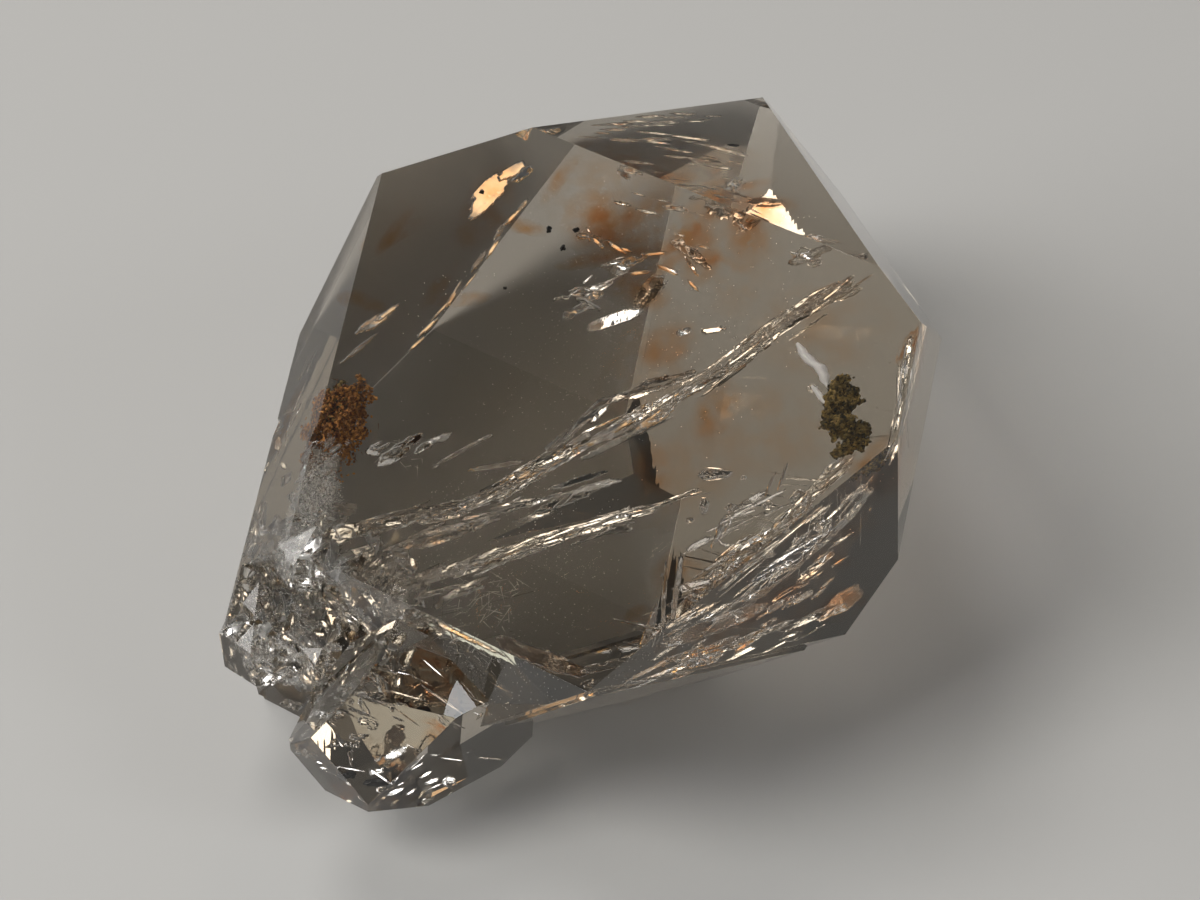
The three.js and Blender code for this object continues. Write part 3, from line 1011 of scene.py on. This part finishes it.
GOLD = film_material("gold_film", (1.0, 0.66, 0.30), 0.25)
film_piece("gold_films", [
    (flake, -4.6, 10.7, 6, 2.6, 0.9, -45, -3, 50, 181, 0.12, 0.2),
    (flake, -3.26, 11.45, 6, 1.2, 0.7, -45, 5, 30, 182),
    (flake, 1.17, 7.86, 6, 1.9, 0.6, -45, 0, 10, 184, 0.2, 0.3),
    (flake, -0.42, 8.86, 6.4, 1.5, 0.5, -45, 8, -15, 185, 0.2, 0.3),
    (flake, 8.86, 8.86, 2.2, 1.3, 0.4, -42, 8, -20, 186, 0.1),
    (shard, -4.72, 10.62, 4, 48, 2.6, 1.25, ["warm", "back"], 190, 0.006, 0),
    (shard, -3.68, 11.62, 4, 30, 1.4, 0.6, ["warm", "back"], 191, 0.006),
    (shard, -10.24, 10.2, 0.5, 66, 2.4, 0.26, ["warm", "left"], 192, 0.006),
    (shard, 10.12, -6.44, 1, 42, 2.2, 1.4, ["warm"], 193, 0.004, -0.3),
    (shards, [(1.67, -9.7, 0.8), (3.76, -8.86, 1), (5.64, -8.19, 1)], 9, (0.9, 2), 0.8, ["warm", "left"],
     215, (0.15, 0.35)),
    (shards, [(5.43, -7.77, 1), (7.52, -6.77, 1), (10.28, -4.6, 1)], 9, (0.8, 1.8), 1.2, ["warm"], 230,
     (0.2, 0.4)),
    (shard, 6.94, 10.37, 1.6, 20, 1.7, 1, ["left"], 194, 0.008, 0.3),
    (shards, [(-10.78, 4.1, 1.6), (-9.53, 5.02, 1.8), (-8.44, 6.02, 2)], 5, (0.9, 2), 0.7,
     ["warm", "left", "back"], 195),
    (shards, [(-13.46, -0.84, 0.5), (-12.71, 1.88, 0.5), (-11.79, 4.39, 0.5)], 8, (0.5, 1.4), 0.5,
     ["left", "key"], 205),
    (shards, [(-3.01, 10.62, 4.4), (-5.02, 7.86, 4.4), (-6.69, 5.6, 4.4), (-8.19, 3.85, 4.4)], 9, (1, 2),
     0.3, ["warm"], 1000, STEPS, 0.004),
    (shards, [(-1.04, 9.53, 5), (0.84, 7.86, 5), (2.93, 7.86, 5), (4.18, 6.27, 5)], 9, (0.5, 1.3), 1.4,
     ["warm", "left"], 1020),
    (shard, 9.28, 8.78, 2, -8, 1.6, 0.35, ["left", "key"], 1050, 0.006),
    (shards, [(-5.43, -1.25, 4.2), (-2.3, -0.67, 4.4), (0.84, 0.92, 4.6), (5.02, 3.26, 4.4)], 9, (1, 2.6),
     0.8, ["warm", "left"], 1060),
    (shards, [(6.69, 4.51, 3.8), (8.44, 5.85, 3.4), (10.28, 6.86, 2.8)], 6, (0.8, 1.6), 0.6,
     ["left", "key"], 1080),
    (shards, [(-5.43, -4.85, 3.4), (-2.93, -3.93, 3.6), (-0.42, -3.18, 3.8)], 5, (0.8, 1.8), 0.4,
     ["left", "warm"], 1100),
    (shards, [(4.85, -5.1, 3.6), (6.9, -3.97, 3.8), (9.2, -2.09, 3.4)], 8, (0.6, 1.5), 1, ["warm", "left"],
     1120),
], material=GOLD)

# %% [markdown]
# ## Clots and dust
# The rust-coloured clot, the dark clots and the milky dust are all the same thing to
# build: hundreds or thousands of small grains crowded in an oval cloud. A particle system
# could place them, but one Geometry Nodes tree does it for all of them, with named inputs
# for the cloud's place and axes, the grains' number and size, and how clumpy they are.
# Each grain keeps a random `tone`, which its material turns into a shade.

# %% Cloud tree
ALL_TURNS = ((0, 0, 0), (6.3, 6.3, 6.3))
CLOUD_SOCKETS = {"Count": "Int", "Seed": "Int", "Centre": "Vector", "Wide": "Vector", "Tall": "Vector",
                 "Deep": "Vector", "Clump Scale": "Float", "Openness": "Float", "Material": "Material"}
CLUMP_FALL = 0.42


def random_value(tree, start, kind, low, high, salt):
    """A random value for each point, from the tree's seed plus a salt of its own."""
    first, out = (0, 0) if kind == "FLOAT_VECTOR" else (2, 1)
    seed = maths(tree, "ADD", start.outputs["Seed"], salt)
    return node(tree, "FunctionNodeRandomValue", {first: low, first + 1: high, "Seed": seed},
                data_type=kind).outputs[out]


def placed_points(tree, start):
    """Points crowded in an oval cloud with its three half-axes given as vectors."""
    ball = random_value(tree, start, "FLOAT_VECTOR", (-1, -1, -1), (1, 1, 1), 0)
    parts = node(tree, "ShaderNodeSeparateXYZ", {0: ball})
    place = start.outputs["Centre"]
    for axis, part in zip(("Wide", "Tall", "Deep"), parts.outputs):
        scaled = node(tree, "ShaderNodeVectorMath", {0: start.outputs[axis], "Scale": part},
                      operation="SCALE")
        place = node(tree, "ShaderNodeVectorMath", {0: place, 1: scaled.outputs[0]}).outputs[0]
    points = node(tree, "GeometryNodePoints", {"Count": start.outputs["Count"], "Position": place})
    radius = node(tree, "ShaderNodeVectorMath", {0: ball}, operation="LENGTH").outputs["Value"]
    cloud = node(tree, "ShaderNodeTexNoise", {
        "Vector": place, "Scale": start.outputs["Clump Scale"], "Detail": 3}).outputs["Fac"]
    return points.outputs[0], radius, cloud


def thinned(tree, start, points, radius, cloud):
    """Drops points outside the ball, and those in the gaps between the clumps."""
    reach = maths(tree, "MULTIPLY_ADD", radius, CLUMP_FALL, start.outputs["Openness"])
    gap = maths(tree, "LESS_THAN", cloud, reach)
    outside = maths(tree, "GREATER_THAN", radius, 1.0)
    either = maths(tree, "MAXIMUM", gap, outside)
    return node(tree, "GeometryNodeDeleteGeometry", {"Geometry": points, "Selection": either}).outputs[0]


def build_cloud_tree(name, sizes, shape, shape_inputs, stretch, salt, toned):
    """A tree that sets one small shape on each point of a cloud, turned and sized at random."""
    sockets = {**CLOUD_SOCKETS, **{size: "Float" for size in sizes}}
    tree, start, end = new_tree(name, "GeometryNodeTree", sockets, {"Geometry": "Geometry"})
    own = {label: start.outputs[value] if value in sizes else value for label, value in shape_inputs.items()}
    made = node(tree, "GeometryNodeInstanceOnPoints", {
        "Points": thinned(tree, start, *placed_points(tree, start)),
        "Instance": node(tree, shape, own).outputs["Mesh"],
        "Rotation": random_value(tree, start, "FLOAT_VECTOR", *ALL_TURNS, salt),
        "Scale": random_value(tree, start, "FLOAT_VECTOR", *stretch, salt + 1)}).outputs[0]
    if toned:
        kept = {"Geometry": made, "Name": "tone",
                "Value": random_value(tree, start, "FLOAT", 0.0, 1.0, salt + 2)}
        made = node(tree, "GeometryNodeStoreNamedAttribute", kept, data_type="FLOAT",
                    domain="INSTANCE").outputs[0]
    solid = node(tree, "GeometryNodeRealizeInstances", {"Geometry": made})
    finish = node(tree, "GeometryNodeSetMaterial", {
        "Geometry": solid.outputs[0], "Material": start.outputs["Material"]})
    feed(tree, end, {"Geometry": finish.outputs[0]})
    return tree


GRAIN_TREE = build_cloud_tree(
    "crowded grains", ["Grain"], "GeometryNodeMeshIcoSphere", {"Subdivisions": 1, "Radius": "Grain"},
    ((0.4, 0.4, 0.4), (1.5, 1.3, 1.2)), 1, toned=True)
print("grain tree:", len(GRAIN_TREE.nodes), "nodes,", len(CLOUD_SOCKETS) + 1, "named inputs")


# %% From a tree to a piece
def run_tree(name, tree, values):
    """Evaluates a tree with its named inputs, and keeps the result as a plain mesh."""
    holder = new_object("raw_" + name, bpy.data.meshes.new("raw_" + name))
    modifier = holder.modifiers.new("tree", "NODES")
    modifier.node_group = tree
    for item in tree.interface.items_tree:
        if item.in_out == "INPUT":
            modifier[item.identifier] = values[item.name]
    return baked(holder, name)


def cloud_axes(place, halves, turn):
    """The centre and the three half-axes, in metres, of an oval cloud seen from the camera."""
    way = look_in(*place[:2])[1]
    angle = math.radians(turn)
    right = view_right * math.cos(angle) + view_up * math.sin(angle)
    up = view_up * math.cos(angle) - view_right * math.sin(angle)
    axes = {label: tuple(axis * mm(half))
            for label, axis, half in zip(("Wide", "Tall", "Deep"), (right, up, way), halves)}
    return {"Centre": tuple(inside(*place)), **axes}


def drop_unburied(thing):
    """Takes out the grains that reach the crystal's skin."""
    with edited(thing.data) as body:
        waiting = [v for v in body.verts if not buried(v.co, 0.02)]
        doomed = set()
        while waiting:
            vert = waiting.pop()
            if vert not in doomed:
                doomed.add(vert)
                waiting.extend(edge.other_vert(vert) for edge in vert.link_edges)
        bmesh.ops.delete(body, geom=[v for v in body.verts if v in doomed], context="VERTS")


def add_cloud(tree, name, material, count, seed, sizes, clump, openness, place, halves, turn=0):
    """One cloud: a place in the view and a depth, three half-axes in mm, and a turn."""
    thing = run_tree(name, tree, {
        "Count": count, "Seed": seed, "Clump Scale": clump, "Openness": openness, "Material": material,
        **{label: mm(size) for label, size in sizes.items()}, **cloud_axes(place, halves, turn)})
    drop_unburied(thing)
    dress(thing, material)
    print(name, "has", len(thing.data.polygons), "faces")


def grain_material(name, dark, pale, roughness=0.8):
    material, tree, shader = new_material(name, {"Roughness": roughness})
    tone = node(tree, "ShaderNodeAttribute", attribute_name="tone").outputs["Fac"]
    shade = maths(tree, "MULTIPLY", tone, pattern(tree, MOTTLING, Scale=3500, Softness=0.25))
    feed(tree, shader, {"Base Color": blend(tree, shade, dark, pale)})
    return material


# %% Clots and dust
RUST = grain_material("rust_grains", (0.10, 0.035, 0.010), (0.98, 0.44, 0.10))
CLAY = grain_material("dark_clay", (0.020, 0.016, 0.008), (0.55, 0.36, 0.10))
MILK = grain_material("milky_dust", (0.86, 0.83, 0.79), (0.99, 0.97, 0.94), 0.6)
BLACK = grain_material("black_speck", (0.002, 0.002, 0.002), (0.02, 0.018, 0.015), 0.35)

# Each cloud: name, material, count, seed, grain, clump scale, openness, place, half-axes, turn.
for name, material, count, seed, grain, *rest in (
    ("rust_clot", RUST, 16000, 3, 0.075, 1100, 0.20, (-11.12, 1.34, 1.4), (2.01, 2.34, 1.1)),
    ("rust_core", CLAY, 3000, 4, 0.09, 900, 0.22, (-11.04, 1.67, 1.4), (1.42, 1.50, 0.7)),
    ("dark_clot", CLAY, 7000, 5, 0.085, 900, 0.20, (10.03, 1.92, 1.4), (1.09, 1.42, 0.6), -25),
    ("dark_clot_low", CLAY, 5500, 6, 0.085, 900, 0.20, (10.37, 0.59, 1.4), (1.00, 1.25, 0.6), 20),
    ("rust_trail", RUST, 700, 7, 0.05, 1800, 0.24, (-10.87, -0.50, 1.4), (1.09, 1.42, 0.5)),
    ("milky_column", MILK, 18000, 8, 0.018, 700, 0.14, (-11.95, -2.17, 1), (1.50, 3.51, 0.8), -12),
    ("milky_corner", MILK, 3000, 9, 0.018, 600, 0.15, (-12.54, -6.10, 0.8), (4.18, 3.76, 0.8)),
    ("window_dust", MILK, 2600, 10, 0.021, 500, 0.16, (-4.18, -4.60, 5), (6.27, 5.02, 4.5)),
    ("upper_dust", MILK, 2600, 11, 0.018, 500, 0.16, (0.00, 5.02, 5), (10.03, 7.94, 4.5)),
):
    add_cloud(GRAIN_TREE, name, material, count, seed, {"Grain": grain}, *rest)

# %% [markdown]
# ## Black specks
# A few flat black specks of old plant matter float near the window, in a little group of
# three above the middle and a few more alone. Each is a small squashed lump, broken by
# noise, with its own place and size, so they are built one by one in mesh code.

# %% Black specks
def add_lump(body, centre, sizes, seed, rough, subdivisions=2):
    """A noisy squashed ball added to a bmesh, `sizes` being its half-axes in mm."""
    made = bmesh.ops.create_icosphere(body, subdivisions=subdivisions, radius=1)["verts"]
    for vert in made:
        swell = 1 + rough * noise.noise(vert.co * 1.6 + Vector((seed, seed * 2, seed * 3)))
        x, y, z = (mm(s) * c * swell for s, c in zip(sizes, vert.co))
        vert.co = centre + view_right * x + view_up * y + view_back * z


def lumps_piece(name, lumps, **shape):
    mesh = bpy.data.meshes.new(name)
    with edited(mesh) as body:
        for k, (x, y, depth, *sizes) in enumerate(lumps):
            add_lump(body, inside(x, y, depth), sizes, k + 1, **shape)
    return new_object(name, mesh)


# Each lump: its place in the view, its depth, and its three half-axes.
SPECKS = [
    (-2.13, 9.24, 3, 0.13, 0.17, 0.08), (-1.00, 9.20, 3.2, 0.15, 0.12, 0.08),
    (-1.55, 8.44, 3, 0.12, 0.13, 0.08), (-4.93, 10.78, 2.4, 0.12, 0.12, 0.06),
    (5.56, 12.75, 1.2, 0.24, 0.14, 0.10), (-3.97, 6.77, 3.4, 0.10, 0.08, 0.06),
    (-10.74, -4.39, 2, 0.26, 0.10, 0.08), (-11.70, -3.89, 1.8, 0.14, 0.08, 0.06),
    (-12.21, -3.22, 1.6, 0.12, 0.16, 0.08), (-9.32, -13.88, 1.2, 0.55, 0.22, 0.20),
    (-10.45, -13.58, 1.2, 0.30, 0.18, 0.15)]
dress(lumps_piece("black_specks", SPECKS, rough=0.8), BLACK)
print("black specks:", len(SPECKS))

# %% [markdown]
# ## Bubbles
# Larger bubbles of gas and water sit at the right of the window, flattened in the plane
# of an old crack. A bubble inside quartz is a clear hole, so its glass has the same IOR
# as the films. Thin films aimed at the lamps give each bubble a bright rim above and
# below.

# %% Bubbles
def bubble_material():
    material, tree, shader = glass_material("fluid_bubble", (1, 1, 1), AIR_IOR)
    feed(tree, shader, {"Normal": pattern(tree, WAVINESS, Scale=1500, Strength=0.3, Height=0.00002)})
    return material


BUBBLES = [
    (4.77, -1.00, 3.4, 0.72, 0.24, 0.16), (4.35, -2.34, 3.6, 0.20, 0.34, 0.12),
    (5.48, -2.42, 3.6, 0.26, 0.16, 0.12), (8.36, -2.01, 3, 0.44, 0.34, 0.20),
    (7.02, -2.30, 3.2, 0.22, 0.18, 0.12), (10.99, -1.55, 2.2, 0.12, 0.12, 0.10),
    (8.86, 2.59, 2, 0.22, 0.16, 0.10), (6.02, -1.17, 3.6, 0.14, 0.10, 0.08),
    (3.76, -2.93, 3.8, 0.18, 0.10, 0.08)]
bubbles = lumps_piece("bubbles", BUBBLES, rough=0.45, subdivisions=4)
bubbles.data.shade_smooth()
dress(bubbles, bubble_material())
print("bubbles:", len(BUBBLES))

film_piece("bubble_rims", [
    (shard, x, y + side * tall, depth - 0.3, -6 * side, 1.3 * wide, 0.05, BRIGHT, 1700 + k, 0.003, -0.3)
    for k, (x, y, depth, wide, tall, _) in enumerate(BUBBLES) for side in (-1, 1)])

# %% [markdown]
# ## The white tube and the fibres
# A short white tube of milky stuff runs down to the dark clot. It could be a curve with
# a bevel, but a real one swells and wanders, so it is built as rings of points whose
# radius is noisy. Fine fibres stand in tufts in the lower and upper window and in the
# rusty clot. They are scattered like the grains, by a second tree from the same builder,
# with a thin cone in place of the grain.

# %% White tube
TUBE_SIDES = 12
TUBE_RINGS = 40


def add_tube(body, stops, radius, seed):
    """A closed wandering tube through view stops, `radius` mm thick at its middle."""
    line = [inside(*stop) for stop in spread_along(stops, TUBE_RINGS)]
    last = TUBE_RINGS - 1
    loops = []
    for i, centre in enumerate(line):
        along = (line[min(i + 1, last)] - line[max(i - 1, 0)]).normalized()
        side = along.cross(view_back).normalized()
        front = side.cross(along)
        taper = min(1, 0.25 + 4 * min(i, last - i) / TUBE_RINGS)
        thick = radius * taper * (1 + 0.5 * noise.noise(centre * 2500 + Vector((seed, 0, 0))))
        middle = centre + side * mm(0.10 * noise.noise(centre * 900 + Vector((0, seed, 0))))
        turns = (2 * math.pi * k / TUBE_SIDES for k in range(TUBE_SIDES))
        ring = [middle + side * mm(thick * math.cos(a)) + front * mm(thick * math.sin(a)) for a in turns]
        loops.append([body.verts.new(point) for point in ring])
    for low, high in zip(loops, loops[1:]):
        for k in range(TUBE_SIDES):
            n = (k + 1) % TUBE_SIDES
            body.faces.new((low[k], low[n], high[n], high[k]))
    body.faces.new(list(reversed(loops[0])))
    body.faces.new(loops[-1])


TUBES = [
    ([(8.23, 4.47, 1.6), (8.61, 3.93, 1.6), (9.20, 3.34, 1.7), (9.53, 2.59, 1.6)], 0.20),
    ([(8.86, 2.72, 1.4), (9.20, 2.17, 1.4), (9.53, 1.88, 1.4)], 0.13)]
tube = new_object("white_tube", bpy.data.meshes.new("white_tube"))
with edited(tube.data) as body:
    for k, (stops, radius) in enumerate(TUBES):
        add_tube(body, stops, radius, k + 1)
    bmesh.ops.recalc_face_normals(body, faces=body.faces)
tube.data.shade_smooth()
dress(tube, MILK)
print("tube faces:", len(tube.data.polygons))

# %% Fibres
FIBRE_TREE = build_cloud_tree(
    "fibre tufts", ["Fibre Length", "Fibre Radius"], "GeometryNodeMeshCone",
    {"Vertices": 5, "Radius Top": 0, "Radius Bottom": "Fibre Radius", "Depth": "Fibre Length"},
    ((0.8, 0.8, 0.3), (1.2, 1.2, 1.4)), 4, toned=False)

for name, material, count, seed, long, thick, place, halves in (
    ("lower_fibres", MILK, 170, 21, 0.9, 0.012, (-5.02, -6.27, 3.2), (2.59, 1.92, 1.2)),
    ("upper_fibres", MILK, 70, 22, 0.7, 0.012, (-8.36, -0.21, 4), (1.76, 1.42, 1)),
    ("rust_threads", RUST, 1500, 23, 0.5, 0.022, (-11.12, 1.25, 1.3), (2.26, 2.68, 1.1)),
):
    sizes = {"Fibre Length": long, "Fibre Radius": thick}
    add_cloud(FIBRE_TREE, name, material, count, seed, sizes, 900, 0.2, place, halves)
